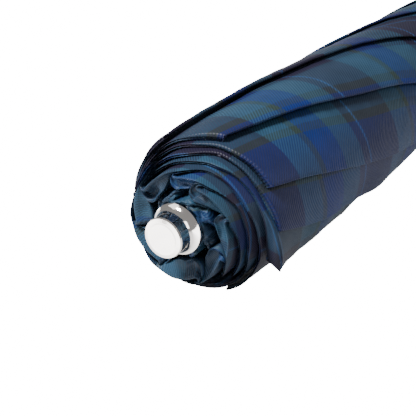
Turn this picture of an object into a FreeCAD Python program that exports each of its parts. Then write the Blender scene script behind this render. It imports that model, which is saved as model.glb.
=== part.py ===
"""Compact folding umbrella, closed and furled: a three-stage telescoping shaft, an eight-rib frame folded
back on itself, the rolled canopy with its closing strap, and a straight handle with a push button.

The umbrella lies along +X with the centre of its finial's flat face at the origin and +Z up.
Azimuths run from +Z towards -Y, so they grow clockwise for someone looking from the finial to the handle.
"""
import FreeCAD, Part

import math
import os
from types import SimpleNamespace

import Sketcher

doc = FreeCAD.newDocument("folding_umbrella")
sheet = doc.addObject("Spreadsheet::Sheet", "sizes")

# Driving sizes in millimetres. Distances named *_at or *_end are measured along +X from the finial's face.
SIZES = {
    # finial and the washer under it
    "finial_radius": 7.7, "finial_face": 6.4, "finial_lip": 0.35, "lip_radius": 8.0, "lip_end": 1.1,
    "barrel_end": 5.6, "flare_at": 8.0, "flare_radius": 8.4, "flange_radius": 10.1, "flange_at": 9.6,
    "finial_length": 11.0, "stud_radius": 2.5, "stud_end": 24.0,
    "washer_radius": 9.4, "washer_end": 11.8,
    # shaft tubes and what guides them
    "tube_wall": 0.4, "outer_tube_radius": 6.5, "outer_tube_at": 14.0, "outer_tube_end": 296.0,
    "plug_end": 26.0, "middle_tube_radius": 5.8, "middle_tube_at": 28.0, "middle_tube_end": 300.0,
    "inner_tube_radius": 5.1, "inner_tube_at": 30.0, "inner_tube_end": 352.0,
    "slide_gap": 0.08, "glide_length": 7.0, "bush_length": 9.0, "bush_flange": 1.6, "bush_rim": 0.6,
    # crown and runner, the two slotted hubs
    "crown_at": 15.5, "crown_end": 22.5, "crown_pivot": 19.0,
    "runner_at": 272.0, "runner_end": 294.0, "runner_pivot": 277.0, "runner_neck": 283.0,
    "runner_sleeve": 8.0, "runner_gap": 0.15,
    "hub_radius": 9.4, "hub_slot": 1.8, "slot_floor": 7.3,
    "pivot_radius": 8.4, "hub_wire": 0.45, "wire_groove": 1.3,
    # ribs: pivot places and the channel they are rolled from
    "elbow_at": 146.0, "elbow_radius": 12.72, "tail_at": 159.0, "tail_radius": 12.45,
    "knee_at": 20.4, "knee_radius": 15.38, "rib_width": 3.0, "rib_depth": 2.0, "rib_wall": 0.4,
    "blade": 1.2, "blade_depth": 1.1, "blade_lead": 5.0, "blade_overlap": 2.0, "elbow_blade": 44.0,
    "eye_radius": 0.5, "eye_margin": 1.1, "first_rib": -2.0,
    "rod_thickness": 0.8, "rod_radius": 17.5, "rod_at": 17.0, "rod_end": 291.0,
    "knee_length": 6.0, "knee_wall": 0.45, "link_thickness": 0.3, "link_radius": 14.0, "link_offset": 1.95,
    "link_at": 25.0, "link_end": 138.0, "tip_at": 286.0, "tip_end": 298.0, "tip_radius": 1.6,
    # rolled canopy, from the crown round the shoulder to the hem
    "cloth_disc": 11.6, "canopy_at": 12.0, "knee_top": 18.6, "rest_flat": 27.8,
    "knee_side_at": 14.6, "knee_side": 21.0, "shoulder_at": 20.0, "shoulder_radius": 26.6,
    "corner_at": 38.0, "roll_radius": 30.0, "narrow_at": 150.0, "narrow_radius": 29.4,
    "waist_at": 215.0, "waist_radius": 27.4, "strap_at": 253.0, "strap_end": 271.0, "strap_radius": 24.8,
    "hem_at": 300.0, "hem_radius": 23.6, "roof_at": 13.3, "cavity_radius": 18.8,
    "hem_cavity_at": 282.0, "hem_cavity": 20.4,
    # closing strap, its tab and snap
    "strap_thick": 0.8, "tab_gap": 0.9, "tab_thick": 0.9, "tab_width": 15.0,
    "tab_first": -12.0, "tab_last": 40.0, "snap_azimuth": 24.0, "snap_radius": 5.0, "snap_height": 1.5,
    "snap_dome": 0.5, "snap_step": 1.2, "socket_radius": 4.0, "socket_height": 0.6, "snap_sink": 0.2,
    # handle
    "collar_at": 303.0, "collar_end": 310.0, "collar_radius": 16.2, "collar_edge": 15.2,
    "core_radius": 13.2, "grip_ends": 14.9, "grip_middle": 16.2, "grip_end": 376.0,
    "cap_end": 386.0, "cap_radius": 16.6, "cap_edge": 15.6, "cap_wall": 1.5, "cap_spigot": 8.0,
    "spigot_at": 356.0,
    # push button and the well it sits in
    "button_at": 321.0, "button_length": 12.0, "button_width": 7.0, "button_low": 12.8, "button_top": 18.4,
    "button_corner": 3.2, "button_crown": 0.6, "button_gap": 0.25, "well_wall": 1.3, "well_low": 7.0,
    "well_floor": 1.0, "well_top": 16.7, "spring_coil": 2.2, "spring_wire": 0.25, "spring_pitch": 1.15,
}
RIBS = 8

for row, (alias, number) in enumerate(SIZES.items(), start=1):
    sheet.set(f"A{row}", alias)
    sheet.set(f"B{row}", str(number))
    sheet.setAlias(f"B{row}", alias)
doc.recompute()


class Size:
    """A length from the sheet, or a sum of them, known both as an expression and as a number."""

    def __init__(self, text, number):
        self.text = text
        self.number = number

    def __add__(self, other):
        other = as_size(other)
        return Size(f"({self.text} + {other.text})", self.number + other.number)

    def __sub__(self, other):
        other = as_size(other)
        return Size(f"({self.text} - {other.text})", self.number - other.number)

    def __mul__(self, factor):
        return Size(f"({self.text} * {factor})", self.number * factor)

    def __neg__(self):
        return self * -1


def as_size(thing):
    return thing if isinstance(thing, Size) else Size(str(thing), float(thing))


s = SimpleNamespace(**{alias: Size("sizes." + alias, getattr(sheet, alias)) for alias in SIZES})
zero = as_size(0)
nodes = []  # every finished sub-part, in the order made


def bind(thing, **properties):
    """Bind properties of a document object to sizes; a double underscore stands for a dot."""
    for name, size in properties.items():
        thing.setExpression(name.replace("__", "."), as_size(size).text)
    return thing


def add(kind, name, **properties):
    return bind(doc.addObject(kind, name), **properties)


def finish(thing, label):
    """Take a finished object as the sub-part of that name."""
    thing.Label = label
    nodes.append(thing)
    return thing


def new_body(name):
    return doc.addObject("PartDesign::Body", name)


def origin_feature(body, role):
    """One of the planes or axes of a body's own origin."""
    return next(feature for feature in body.Origin.OriginFeatures if feature.Role == role)


def sketch_on(body, plane, offset=None):
    """A sketch on one of the body's own origin planes, moved along that plane's normal by an offset."""
    sketch = body.newObject("Sketcher::SketchObject", body.Name + "_sketch")
    sketch.AttachmentSupport = (origin_feature(body, plane), [""])
    sketch.MapMode = "FlatFace"
    if offset is not None:
        bind(sketch, AttachmentOffset__Base__z=offset)
    return sketch


def constrain_point(sketch, geometry, end, across, up):
    """Hold one end of a sketch line at a place given by two sizes."""
    for kind, size, axis in (("DistanceX", across, -2), ("DistanceY", up, -1)):
        if size.text == zero.text:
            sketch.addConstraint(Sketcher.Constraint("PointOnObject", geometry, end, axis))
            continue
        index = sketch.addConstraint(Sketcher.Constraint(kind, -1, 1, geometry, end, size.number))
        sketch.setExpression(f"Constraints[{index}]", size.text)


def draw_outline(sketch, points):
    """Draw a closed outline. A point (across, up, "arc") is where an arc between its neighbours passes."""
    points = [(as_size(point[0]), as_size(point[1])) + tuple(point[2:]) for point in points]
    corners = [index for index, point in enumerate(points) if len(point) == 2]
    drawn = []
    for place, index in enumerate(corners):
        following = corners[(place + 1) % len(corners)]
        ends = [FreeCAD.Vector(points[k][0].number, points[k][1].number, 0) for k in (index, following)]
        through = points[(index + 1) % len(points)]
        if len(through) == 3:
            middle = FreeCAD.Vector(through[0].number, through[1].number, 0)
            arc = Part.Arc(ends[0], middle, ends[1])
            geometry = sketch.addGeometry(arc, False)
            start = sketch.getPoint(geometry, 1)
            order = (1, 2) if start.isEqual(ends[0], 1e-6) else (2, 1)
            sketch.addConstraint(Sketcher.Constraint("Radius", geometry, arc.toShape().Curve.Radius))
        else:
            geometry = sketch.addGeometry(Part.LineSegment(ends[0], ends[1]), False)
            order = (1, 2)
        drawn.append((geometry, order))
    for place, (geometry, order) in enumerate(drawn):
        after, after_order = drawn[(place + 1) % len(drawn)]
        sketch.addConstraint(Sketcher.Constraint("Coincident", geometry, order[1], after, after_order[0]))
    for (geometry, order), index in zip(drawn, corners):
        constrain_point(sketch, geometry, order[0], points[index][0], points[index][1])


def rectangle(low_across, high_across, low_up, high_up):
    return [(low_across, low_up), (high_across, low_up), (high_across, high_up), (low_across, high_up)]


def revolve(body, outline):
    sketch = sketch_on(body, "XZ_Plane")
    draw_outline(sketch, outline)
    turn = body.newObject("PartDesign::Revolution", body.Name + "_turn")
    turn.Profile = sketch
    turn.ReferenceAxis = (sketch, ["H_Axis"])
    turn.Angle = 360
    return turn


def turned(label, outline):
    """A sub-part turned about the umbrella's axis from an outline of (along, radius) points."""
    body = new_body(label)
    revolve(body, outline)
    return finish(body, label)


def draw_circle(sketch, across, up, radius):
    centre = FreeCAD.Vector(across.number, up.number, 0)
    geometry = sketch.addGeometry(Part.Circle(centre, FreeCAD.Vector(0, 0, 1), radius.number), False)
    constrain_point(sketch, geometry, 3, across, up)
    index = sketch.addConstraint(Sketcher.Constraint("Radius", geometry, radius.number))
    sketch.setExpression(f"Constraints[{index}]", radius.text)


def pad_sketch(body, sketch, length, both_ways=False):
    feature = body.newObject("PartDesign::Pad", sketch.Name + "_pad")
    feature.Profile = sketch
    feature.SideType = "Symmetric" if both_ways else "One side"
    return bind(feature, Length=length)


def pad(body, plane, outline, length, offset=None, both_ways=False):
    sketch = sketch_on(body, plane, offset)
    draw_outline(sketch, outline)
    return pad_sketch(body, sketch, length, both_ways)


def drill(body, plane, circles):
    """Cut round holes, each (across, up, radius), right through the body."""
    sketch = sketch_on(body, plane)
    for across, up, radius in circles:
        draw_circle(sketch, across, up, radius)
    feature = body.newObject("PartDesign::Pocket", body.Name + "_holes")
    feature.Profile = sketch
    feature.Type = "ThroughAll"
    feature.SideType = "Symmetric"


def tube(label, radius, start, end, wall=None):
    inner = radius - (wall or s.tube_wall)
    return turned(label, rectangle(start, end, inner, radius))


def at_rib(rib, along, radius, slope=0.0):
    """The placement of something built along its own X and pointing out along its own Z, at one rib."""
    azimuth = FreeCAD.Rotation(FreeCAD.Vector(1, 0, 0), s.first_rib.number + 360.0 * rib / RIBS)
    tilt = FreeCAD.Rotation(FreeCAD.Vector(0, 1, 0), -slope)
    base = azimuth.multVec(FreeCAD.Vector(along, 0, radius))
    return FreeCAD.Placement(base, azimuth * tilt)


def slope_between(start, end):
    """Degrees by which a rib climbs away from the axis between two (along, radius) pivots."""
    return math.degrees(math.atan2(end[1].number - start[1].number, end[0].number - start[0].number))


def span_between(start, end):
    """The straight distance between two (along, radius) pivots."""
    along = end[0] - start[0]
    out = end[1] - start[1]
    return Size(f"sqrt({along.text}^2 + {out.text}^2)", math.hypot(along.number, out.number))


# Finial, washer and shaft.
turned("finial", [
    (0, 0), (0, s.finial_face), (s.finial_lip, s.finial_radius), (s.lip_end, s.lip_radius),
    (s.lip_end + 0.3, s.finial_radius), (s.barrel_end, s.finial_radius),
    (s.flare_at, s.flare_radius, "arc"), (s.flange_at, s.flange_radius),
    (s.finial_length, s.flange_radius), (s.finial_length, s.stud_radius), (s.stud_end, s.stud_radius),
    (s.stud_end, 0)])
tube("finial_washer", s.washer_radius, s.finial_length, s.washer_end, s.washer_radius - s.stud_radius)
tube("tube_plug", s.outer_tube_radius - s.tube_wall, s.outer_tube_at, s.plug_end,
     s.outer_tube_radius - s.tube_wall - s.stud_radius)
tube("outer_tube", s.outer_tube_radius, s.outer_tube_at, s.outer_tube_end)
tube("middle_tube", s.middle_tube_radius, s.middle_tube_at, s.middle_tube_end)
tube("inner_tube", s.inner_tube_radius, s.inner_tube_at, s.inner_tube_end)


def glide_ring(label, radius, start, bore):
    """A ring on the top of a sliding tube that rides inside the tube around it."""
    turned(label, rectangle(start, start + s.glide_length, radius, bore - s.slide_gap))


def end_bush(label, radius, end, bore, rim):
    """A flanged bush in the mouth of a tube, in which the next tube slides."""
    inner = radius + s.slide_gap
    turned(label, [(end - s.bush_length, inner), (end + s.bush_flange, inner), (end + s.bush_flange, rim),
                   (end, rim), (end, bore), (end - s.bush_length, bore)])


middle_bore = s.middle_tube_radius - s.tube_wall
outer_bore = s.outer_tube_radius - s.tube_wall
glide_ring("middle_glide", s.middle_tube_radius, s.middle_tube_at, outer_bore)
glide_ring("inner_glide", s.inner_tube_radius, s.inner_tube_at, middle_bore)
end_bush("outer_bush", s.middle_tube_radius, s.outer_tube_end, outer_bore, s.outer_tube_radius + s.bush_rim)
end_bush("middle_bush", s.inner_tube_radius, s.middle_tube_end, middle_bore,
         s.middle_tube_radius + s.bush_rim)

# Crown and runner: each is a hub with eight slots for rib ends and a groove for the wire they turn on.


def hub(label, outline, bore, pivot, slot_start, slot_end):
    body = new_body(label)
    revolve(body, outline)
    groove_sketch = sketch_on(body, "XZ_Plane")
    draw_outline(groove_sketch, rectangle(pivot - s.wire_groove * 0.5, pivot + s.wire_groove * 0.5,
                                          s.pivot_radius - s.hub_wire, s.hub_radius + 1))
    groove = body.newObject("PartDesign::Groove", label + "_groove")
    groove.Profile = groove_sketch
    groove.ReferenceAxis = (groove_sketch, ["H_Axis"])
    groove.Angle = 360
    doc.recompute()
    volume = body.Shape.Volume
    slot_sketch = sketch_on(body, "XY_Plane", s.slot_floor)
    draw_outline(slot_sketch, rectangle(slot_start, slot_end, s.hub_slot * -0.5, s.hub_slot * 0.5))
    slot = body.newObject("PartDesign::Pocket", label + "_slot")
    slot.Profile = slot_sketch
    slot.Type = "Length"
    slot.Reversed = True
    bind(slot, Length=s.hub_radius - s.slot_floor + 1)
    doc.recompute()
    if body.Shape.Volume > volume - 0.5:
        raise RuntimeError(label + ": the slot cuts nothing")
    slots = body.newObject("PartDesign::PolarPattern", label + "_slots")
    slots.Originals = [slot]
    slots.Axis = (origin_feature(body, "X_Axis"), [""])
    slots.Angle = 360
    slots.Occurrences = RIBS
    body.Tip = slots
    body.Placement = at_rib(0, 0, 0)
    finish(body, label)
    ring = add("Part::Torus", label + "_ring", Radius1=s.pivot_radius, Radius2=s.hub_wire)
    ring.Placement = FreeCAD.Placement(FreeCAD.Vector(pivot.number, 0, 0),
                                       FreeCAD.Rotation(FreeCAD.Vector(0, 1, 0), 90))
    finish(ring, label + "_wire")


hub("crown", rectangle(s.crown_at, s.crown_end, s.outer_tube_radius, s.hub_radius),
    s.outer_tube_radius, s.crown_pivot, s.crown_at - 1, s.crown_end + 1)
runner_bore = s.outer_tube_radius + s.runner_gap
hub("runner", [(s.runner_at, runner_bore), (s.runner_end, runner_bore), (s.runner_end, s.hub_radius),
               (s.runner_end - 3, s.hub_radius), (s.runner_end - 4, s.runner_sleeve),
               (s.runner_neck, s.runner_sleeve), (s.runner_neck - 1, s.hub_radius),
               (s.runner_at, s.hub_radius)],
    runner_bore, s.runner_pivot, s.runner_at - 1, s.runner_neck - 1)

# Rib chains. Each piece is built along its own X from its first pivot, with +Z pointing off the axis.
crown_pin = (s.crown_pivot, s.pivot_radius)
elbow_pin = (s.elbow_at, s.elbow_radius)
tail_pin = (s.tail_at, s.tail_radius)
knee_pin = (s.knee_at, s.knee_radius)
runner_pin = (s.runner_pivot, s.pivot_radius)


def channel(body, start, end):
    """A rolled channel with its open side towards the axis."""
    side = s.rib_width * 0.5
    inside = side - s.rib_wall
    low = s.rib_depth * -0.5
    roof = s.rib_depth * 0.5 - s.rib_wall
    pad(body, "YZ_Plane", [(-side, low), (-inside, low), (-inside, roof), (inside, roof), (inside, low),
                           (side, low), (side, s.rib_depth * 0.5), (-side, s.rib_depth * 0.5)],
        end - start, start)


def flat_end(body, eye, shoulder, tip):
    """A rib's end pressed flat: an eye at the tip, and a root that joins the channel at the shoulder."""
    reach = s.blade_depth * 0.5
    roof = s.rib_depth * 0.5 - s.rib_wall * 0.5
    root = shoulder + (s.blade_overlap if tip < 0 else -s.blade_overlap)
    end = eye + s.eye_margin * tip
    pad(body, "XZ_Plane", [(end, -reach), (root, -reach), (root, roof), (shoulder, roof), (shoulder, reach),
                           (end, reach)], s.blade, both_ways=True)


def bladed_rib(label, rib, start, end, tail_blade):
    """A channel with a flat eye at both ends, hung between two pins."""
    body = new_body(label)
    span = span_between(start, end)
    tail = span - tail_blade
    channel(body, s.blade_lead, tail)
    flat_end(body, zero, s.blade_lead, -1)
    flat_end(body, span, tail, 1)
    drill(body, "XZ_Plane", [(zero, zero, s.eye_radius), (span, zero, s.eye_radius)])
    body.Placement = at_rib(rib, start[0].number, start[1].number, slope_between(start, end))
    finish(body, label)


def middle_rib(label, rib):
    """A channel from the knee back to its tail, pinned through both walls at knee, elbow and tail."""
    body = new_body(label)
    span = span_between(knee_pin, tail_pin)
    elbow = span_between(knee_pin, elbow_pin)
    channel(body, -s.eye_margin, span + s.eye_margin)
    drill(body, "XZ_Plane", [(place, zero, s.eye_radius) for place in (zero, elbow, span)])
    body.Placement = at_rib(rib, knee_pin[0].number, knee_pin[1].number, slope_between(knee_pin, tail_pin))
    finish(body, label)


for rib in range(RIBS):
    bladed_rib(f"top_rib_{rib + 1}", rib, crown_pin, elbow_pin, s.elbow_blade)
    bladed_rib(f"stretcher_{rib + 1}", rib, tail_pin, runner_pin, s.blade_lead)
    middle_rib(f"middle_rib_{rib + 1}", rib)


def round_the_ribs(label, build):
    """A sub-part of eight like pieces, one at each rib, from the features that build makes at the first."""
    body = new_body(label)
    body.AllowCompound = True
    made = build(body)
    pattern = body.newObject("PartDesign::PolarPattern", label + "_ring")
    pattern.Originals = made
    pattern.Axis = (origin_feature(body, "X_Axis"), [""])
    pattern.Angle = 360
    pattern.Occurrences = RIBS
    body.Tip = pattern
    body.Placement = at_rib(0, 0, 0)
    finish(body, label)


def rod(body, side, radius, thickness, start, end):
    """A round rod lying parallel to the axis."""
    sketch = sketch_on(body, "YZ_Plane", start)
    draw_circle(sketch, as_size(side), radius, thickness)
    return [pad_sketch(body, sketch, end - start)]


def rivets(body):
    sketch = sketch_on(body, "XZ_Plane")
    for pin in (elbow_pin, tail_pin, knee_pin):
        draw_circle(sketch, pin[0], pin[1], s.eye_radius)
    return [pad_sketch(body, sketch, s.rib_width, both_ways=True)]


def knee_bracket(body):
    """A saddle over the middle rib's end that carries the outer rib's rod."""
    sketch = sketch_on(body, "YZ_Plane", s.knee_at - s.knee_length * 0.5)
    inside = s.rib_width * 0.5
    outside = inside + s.knee_wall
    low = s.knee_radius - s.rib_depth * 0.5
    roof = s.knee_radius + s.rib_depth * 0.5
    top = s.rod_radius + s.rod_thickness + s.knee_wall * 0.5
    draw_outline(sketch, [(-outside, low), (-inside, low), (-inside, roof), (inside, roof), (inside, low),
                          (outside, low), (outside, top), (-outside, top)])
    draw_circle(sketch, zero, s.rod_radius, s.rod_thickness)
    return [pad_sketch(body, sketch, s.knee_length)]


round_the_ribs("outer_ribs", lambda body: rod(body, 0, s.rod_radius, s.rod_thickness, s.rod_at, s.rod_end))
round_the_ribs("link_wires", lambda body: rod(body, s.link_offset, s.link_radius, s.link_thickness,
                                              s.link_at, s.link_end))
round_the_ribs("rib_rivets", rivets)
round_the_ribs("knee_brackets", knee_bracket)


def rib_tip(body):
    """A blunt cap pushed on the end of the rod, to which the hem is sewn."""
    sketch = sketch_on(body, "YZ_Plane", s.tip_at)
    draw_circle(sketch, zero, s.rod_radius, s.tip_radius)
    cap = pad_sketch(body, sketch, s.tip_end - s.tip_at)
    bore = sketch_on(body, "YZ_Plane", s.tip_at)
    draw_circle(bore, zero, s.rod_radius, s.rod_thickness)
    pocket = body.newObject("PartDesign::Pocket", "rib_tip_bore")
    pocket.Profile = bore
    pocket.Type = "Length"
    pocket.Reversed = True
    bind(pocket, Length=s.rod_end - s.tip_at)
    return [cap, pocket]


round_the_ribs("rib_tips", rib_tip)

# Rolled canopy, pressed flat along the line it lies on, and its closing strap, tab and snap.
turned("canopy", [
    (s.canopy_at, s.stud_radius), (s.roof_at, s.stud_radius), (s.roof_at, s.cavity_radius),
    (s.hem_cavity_at, s.cavity_radius), (s.hem_cavity_at + 2, s.hem_cavity), (s.hem_at, s.hem_cavity),
    (s.hem_at, s.hem_radius), (s.strap_end, s.strap_radius), (s.strap_at, s.strap_radius),
    (s.waist_at, s.waist_radius), (s.narrow_at, s.narrow_radius), (s.corner_at, s.roll_radius),
    (s.shoulder_at, s.shoulder_radius), (s.knee_side_at, s.knee_side), (s.canopy_at + 0.4, s.knee_top),
    (s.canopy_at, s.cloth_disc)])
canopy = nodes[-1]
doc.recompute()
round_volume = canopy.Shape.Volume
lying = sketch_on(canopy, "XZ_Plane")
draw_outline(lying, rectangle(s.canopy_at, s.hem_at, -(s.roll_radius + 1), -s.rest_flat))
flat = canopy.newObject("PartDesign::Pocket", "canopy_flat")
flat.Profile = lying
flat.Type = "ThroughAll"
flat.SideType = "Symmetric"
doc.recompute()
if canopy.Shape.Volume > round_volume - 1:
    raise RuntimeError("the canopy's flat removes nothing")
tube("closure_strap", s.strap_radius + s.strap_thick, s.strap_at, s.strap_end, s.strap_thick)

band = s.strap_radius + s.strap_thick
tab_under = band + s.tab_gap
tab_over = tab_under + s.tab_thick
tab_middle = (s.strap_at + s.strap_end) * 0.5


def turned_part_way(label, outline, first, last):
    """Turn an outline through the azimuths between two angles."""
    body = new_body(label)
    feature = revolve(body, outline)
    bind(feature, Angle=last - first)
    body.Placement = FreeCAD.Placement(FreeCAD.Vector(), FreeCAD.Rotation(FreeCAD.Vector(1, 0, 0),
                                                                          first.number))
    return finish(body, label)


def disc_on_roll(label, azimuth, low, steps):
    """A stack of round steps, each (radius, height), standing on the roll at an azimuth."""
    body = new_body(label)
    sketch = sketch_on(body, "XZ_Plane")
    points = [(0, 0), (steps[0][0], 0)]
    for index, (radius, height) in enumerate(steps):
        points.append((radius, height))
        if index + 1 < len(steps):
            points.append((steps[index + 1][0], height))
    points.append((0, steps[-1][1]))
    draw_outline(sketch, points)
    turn = body.newObject("PartDesign::Revolution", label + "_turn")
    turn.Profile = sketch
    turn.ReferenceAxis = (sketch, ["V_Axis"])
    turn.Angle = 360
    spin = FreeCAD.Rotation(FreeCAD.Vector(1, 0, 0), azimuth.number)
    body.Placement = FreeCAD.Placement(spin.multVec(FreeCAD.Vector(tab_middle.number, 0, low.number)), spin)
    return finish(body, label)


turned_part_way("strap_tab", rectangle(tab_middle - s.tab_width * 0.5, tab_middle + s.tab_width * 0.5,
                                       tab_under, tab_over), s.tab_first, s.tab_last)
disc_on_roll("snap_cap", s.snap_azimuth, tab_over - s.snap_sink,
             [(s.snap_radius, s.snap_height), (s.snap_radius - s.snap_step, s.snap_height + s.snap_dome)])
disc_on_roll("snap_stud", s.snap_azimuth, band - s.snap_sink, [(s.socket_radius, s.socket_height)])

# Handle.
middle_of_grip = (s.collar_end + s.grip_end) * 0.5
turned("handle_core", [
    (s.collar_at, s.inner_tube_radius), (s.inner_tube_end, s.inner_tube_radius), (s.inner_tube_end, 0),
    (s.spigot_at, 0), (s.spigot_at, s.cap_spigot), (s.grip_end, s.cap_spigot), (s.grip_end, s.core_radius),
    (s.collar_at, s.core_radius)])
core = nodes[-1]
turned("handle_grip", [
    (s.collar_end, s.core_radius), (s.collar_end, s.grip_ends), (middle_of_grip, s.grip_middle, "arc"),
    (s.grip_end, s.grip_ends), (s.grip_end, s.core_radius)])
grip = nodes[-1]
turned("handle_collar", [
    (s.collar_at, s.core_radius), (s.collar_at, s.collar_edge), (s.collar_at + 1, s.collar_radius),
    (s.collar_end, s.collar_radius), (s.collar_end, s.core_radius)])
turned("handle_cap", [
    (s.cap_end - s.cap_wall * 2, 0), (s.cap_end - s.cap_wall * 2, s.cap_spigot - s.cap_wall),
    (s.spigot_at, s.cap_spigot - s.cap_wall), (s.spigot_at, s.cap_spigot), (s.grip_end, s.cap_spigot), (s.grip_end, s.cap_radius),
    (s.cap_end - 2, s.cap_radius), (s.cap_end - 0.6, s.cap_edge + 0.4, "arc"), (s.cap_end, s.cap_edge - 1),
    (s.cap_end, 0)])

# Push button, its well and spring.
button_middle = s.button_at + s.button_length * 0.5


def rounded(margin, corner):
    """The button's outline grown by a margin, with rounded corners, seen along Z."""
    across = s.button_length * 0.5 + margin
    up = s.button_width * 0.5 + margin
    cut = corner * (1 - math.sqrt(0.5))
    points = []
    for turn in range(4):
        along_x = 1 if turn in (0, 3) else -1
        along_y = 1 if turn in (0, 1) else -1
        side = (button_middle + across * along_x, (up - corner) * along_y)
        top = (button_middle + (across - corner) * along_x, up * along_y)
        bend = (button_middle + (across - cut) * along_x, (up - cut) * along_y, "arc")
        points += [side, bend, top] if turn in (0, 2) else [top, bend, side]
    return points


def cut_up(body, outline, low, height):
    """Cut an outline out of a body from a height upwards."""
    sketch = sketch_on(body, "XY_Plane", low)
    draw_outline(sketch, outline)
    doc.recompute()
    volume = body.Shape.Volume
    feature = body.newObject("PartDesign::Pocket", sketch.Name + "_cut")
    feature.Profile = sketch
    feature.Type = "Length"
    feature.Reversed = True
    bind(feature, Length=height)
    doc.recompute()
    if body.Shape.Volume > volume - 1:
        raise RuntimeError(body.Label + ": the cut removes nothing")


well_outline = rounded(s.button_gap + s.well_wall, s.button_corner + s.button_gap + s.well_wall)
for body in (core, grip):
    cut_up(body, well_outline, s.well_low, s.grip_middle)
well = new_body("button_well")
pad(well, "XY_Plane", well_outline, s.well_top - s.well_low, s.well_low)
cut_up(well, rounded(s.button_gap, s.button_corner + s.button_gap), s.well_low + s.well_floor, s.well_top)
finish(well, "button_well")
button = new_body("push_button")
pad(button, "XY_Plane", rounded(zero, s.button_corner), s.button_top - s.button_low, s.button_low)
doc.recompute()
top_edges = [f"Edge{index + 1}" for index, edge in enumerate(button.Tip.Shape.Edges)
             if edge.BoundBox.ZMin > s.button_top.number - 0.01]
crown = button.newObject("PartDesign::Fillet", "push_button_crown")
crown.Base = (button.Tip if button.Tip is not crown else crown.BaseFeature, top_edges)
bind(crown, Radius=s.button_crown)
finish(button, "push_button")

coil_low = s.well_low + s.well_floor + s.spring_wire
coil_height = s.button_low - s.spring_wire - coil_low
coil = add("Part::Helix", "coil", Pitch=s.spring_pitch, Height=coil_height, Radius=s.spring_coil)
section = add("Part::Circle", "coil_section", Radius=s.spring_wire)
coil.Placement.Base = FreeCAD.Vector(button_middle.number, 0, coil_low.number)
section.Placement = FreeCAD.Placement(
    FreeCAD.Vector((button_middle + s.spring_coil).number, 0, coil_low.number),
    FreeCAD.Rotation(FreeCAD.Vector(1, 0, 0), 90))
doc.recompute()
spring = doc.addObject("Part::Sweep", "button_spring")
spring.Sections = [section]
spring.Spine = (coil, [f"Edge{index + 1}" for index in range(len(coil.Shape.Edges))])
spring.Solid = True
spring.Frenet = True
finish(spring, "button_spring")

# Check everything, then write each sub-part.
doc.recompute()
failed = [thing.Label for thing in doc.Objects if {"Invalid", "Error"} & set(thing.State)]
failed += [node.Label for node in nodes if node.Shape.isNull() or not node.Shape.isValid()]
if failed:
    raise RuntimeError("failed: " + ", ".join(failed))
os.makedirs("parts", exist_ok=True)
for node in nodes:
    node.Shape.exportStep(f"parts/{node.Label}.step")
    print(node.Label, len(node.Shape.Solids), round(node.Shape.Volume, 1))
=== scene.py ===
import math

import bpy
import numpy as np
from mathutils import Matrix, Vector


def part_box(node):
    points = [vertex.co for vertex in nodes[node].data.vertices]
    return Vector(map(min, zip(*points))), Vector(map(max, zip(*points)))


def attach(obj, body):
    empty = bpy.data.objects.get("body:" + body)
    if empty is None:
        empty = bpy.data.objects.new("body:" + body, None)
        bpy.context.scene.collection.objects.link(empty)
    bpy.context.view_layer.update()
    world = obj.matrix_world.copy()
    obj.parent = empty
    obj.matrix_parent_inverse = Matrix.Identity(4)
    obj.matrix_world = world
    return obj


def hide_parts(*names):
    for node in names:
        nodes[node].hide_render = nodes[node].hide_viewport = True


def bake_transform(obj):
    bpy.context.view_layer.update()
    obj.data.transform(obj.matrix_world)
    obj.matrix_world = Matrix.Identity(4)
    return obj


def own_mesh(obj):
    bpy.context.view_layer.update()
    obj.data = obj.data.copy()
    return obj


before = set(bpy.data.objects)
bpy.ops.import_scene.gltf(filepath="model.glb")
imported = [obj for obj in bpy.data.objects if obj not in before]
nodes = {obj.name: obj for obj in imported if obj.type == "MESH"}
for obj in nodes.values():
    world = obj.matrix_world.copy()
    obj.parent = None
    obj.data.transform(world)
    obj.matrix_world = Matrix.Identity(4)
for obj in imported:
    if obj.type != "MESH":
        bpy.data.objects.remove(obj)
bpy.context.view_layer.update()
print("frame loaded")

mm = 0.001
turn = 360.0


def smooth(value):
    value = np.clip(value, 0.0, 1.0)
    return value * value * (3.0 - 2.0 * value)


def mix(a, b, share):
    return a + (b - a) * share


def addMesh(name, points, faces, uv=None):
    mesh = bpy.data.meshes.new(name)
    mesh.from_pydata([tuple(p) for p in points], [], faces)
    mesh.update()
    if uv is not None:
        layer = mesh.uv_layers.new(name="cloth")
        loops = np.zeros(len(mesh.loops), dtype=np.int32)
        mesh.loops.foreach_get("vertex_index", loops)
        layer.data.foreach_set("uv", uv[loops].astype(np.float32).ravel())
    mesh.polygons.foreach_set("use_smooth", [True] * len(mesh.polygons))
    thing = bpy.data.objects.new(name, mesh)
    bpy.context.collection.objects.link(thing)
    return thing


def ringPoint(along, azimuth, radius):
    angle = np.radians(azimuth)
    place = (along + np.zeros_like(angle), -radius * np.sin(angle), radius * np.cos(angle))
    return np.stack(place, -1) * mm


def gridFaces(rows, columns, loopRows=False, loopColumns=True, base=0):
    faces = []
    for r in range(rows if loopRows else rows - 1):
        here, after = base + r * columns, base + (r + 1) % rows * columns
        for c in range(columns if loopColumns else columns - 1):
            d = (c + 1) % columns
            faces.append((here + c, after + c, after + d, here + d))
    return faces


def waveField(seed, count, lowest, highest):
    # a smooth random field over (along, azimuth), periodic round the roll
    rng = np.random.default_rng(seed)
    rounds = rng.integers(1, 7, count)
    lengths = rng.uniform(lowest, highest, count)
    phases = rng.uniform(0.0, 2.0 * math.pi, (count, 2))
    weights = rng.uniform(0.5, 1.0, count)

    def field(along, azimuth):
        total = 0.0
        for k in range(count):
            ahead = 2.0 * math.pi * along / lengths[k] + phases[k, 0]
            total = total + weights[k] * np.sin(ahead + rounds[k] * np.radians(azimuth) * (-1) ** k)
        return total / weights.sum()
    return field


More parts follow.
